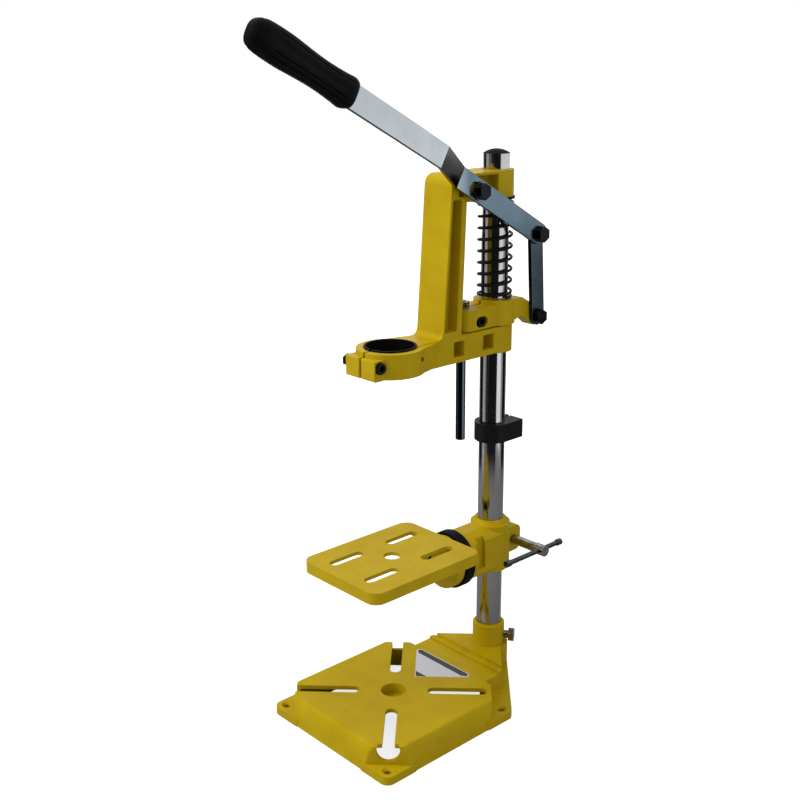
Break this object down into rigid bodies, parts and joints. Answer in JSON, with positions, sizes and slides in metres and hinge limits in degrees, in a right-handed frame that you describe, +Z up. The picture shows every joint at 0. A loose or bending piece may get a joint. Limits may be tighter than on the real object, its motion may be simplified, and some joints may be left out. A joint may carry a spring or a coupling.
{
  "type": "drill stand",
  "caption": "Bench drill stand: cast base, round column, tilting table and a lever-fed carriage with a split collar that holds a hand drill by its neck.",
  "frame": {"origin": "on the bench plane, at the centre of the four bench screw holes, under the drill collar's axis", "axes": "+Z up along the column; +Y from the drill axis towards the column; +X towards the feed lever's side"},
  "size_m": [0.164, 0.3525, 0.6308],
  "materials": {
    "yellow_paint": "glossy yellow paint over a casting",
    "chrome_tube": "polished chrome",
    "zinc_steel": "zinc plated",
    "dark_steel": "blackened screws and nuts",
    "black_paint": "semi-gloss black",
    "black_plastic": "moulded, satin"
  },
  "bodies": {
    "stand": {"base": "yellow_paint", "column": "chrome_tube", "column_cap": "black_plastic", "base_set_screw": "dark_steel"},
    "stop_ring": {"stop_collar": "black_paint", "stop_collar_screw": "dark_steel"},
    "table_bracket": {"table_block": "yellow_paint", "index_disc": "black_plastic", "table_pivot_stud": "dark_steel", "table_pivot_nut": "dark_steel"},
    "work_table": {"tilt_table": "yellow_paint"},
    "cross_screw": {"table_clamp_screw": "dark_steel"},
    "tommy": {"tommy_bar": "dark_steel"},
    "head": {"head_block": "yellow_paint", "head_clamp_screw": "dark_steel", "head_clamp_nut": "dark_steel", "guide_rod": "zinc_steel", "guide_rod_nut": "zinc_steel", "return_spring": "black_paint", "link_pivot_bolt": "dark_steel"},
    "feed_carriage": {"carriage": "yellow_paint", "collar_insert": "black_plastic", "collar_clamp_screw": "dark_steel", "collar_clamp_nut": "dark_steel", "slot_pin_bolt": "dark_steel", "slot_pin_washer": "zinc_steel", "spring_washer": "black_plastic"},
    "link_arm": {"lift_link": "zinc_steel", "lever_pivot_bolt": "dark_steel", "lever_pivot_nut": "dark_steel"},
    "feed_lever": {"lever_bar": "zinc_steel", "lever_grip": "black_plastic"}
  },
  "joints": [
    {"name": "head_height", "type": "slide", "parent": "stand", "child": "head", "axis": [0, 0, 1], "range_m": [-0.006, 0.012]},
    {"name": "carriage_slide", "type": "slide", "parent": "head", "child": "feed_carriage", "axis": [0, 0, -1], "range_m": [0, 0.06], "stiffness_N_per_m": 600, "springref_m": -0.08, "deforming": ["return_spring"]},
    {"name": "link_hinge", "type": "hinge", "parent": "head", "child": "link_arm", "pos_m": [0.02, 0.1689, 0.3672], "axis": [1, 0, 0], "range_deg": [-8.3, 0]},
    {"name": "lever_hinge", "type": "hinge", "parent": "link_arm", "child": "feed_lever", "pos_m": [0.0243, 0.1637, 0.4459], "axis": [1, 0, 0], "range_deg": [0, 46.8]},
    {"name": "stop_collar_height", "type": "slide", "parent": "stand", "child": "stop_ring", "axis": [0, 0, 1], "range_m": [-0.03, 0.002]},
    {"name": "table_height", "type": "slide", "parent": "stand", "child": "table_bracket", "axis": [0, 0, 1], "range_m": [-0.045, 0.045]},
    {"name": "table_tilt", "type": "hinge", "parent": "table_bracket", "child": "work_table", "pos_m": [0, 0.066, 0.1385], "axis": [0, 1, 0], "range_deg": [-45, 45]},
    {"name": "cross_screw_turn", "type": "hinge", "parent": "table_bracket", "child": "cross_screw", "pos_m": [0.048, 0.1525, 0.14], "axis": [1, 0, 0], "range_deg": [-120, 120]},
    {"name": "tommy_slide", "type": "slide", "parent": "cross_screw", "child": "tommy", "axis": [0, 1, 0], "range_m": [-0.0165, 0.0375]}
  ],
  "couplings": [
    {"joint": "link_hinge", "follows": "carriage_slide", "rad_per_m": -2.3843},
    {"joint": "lever_hinge", "follows": "carriage_slide", "rad_per_m": 13.582}
  ]
}
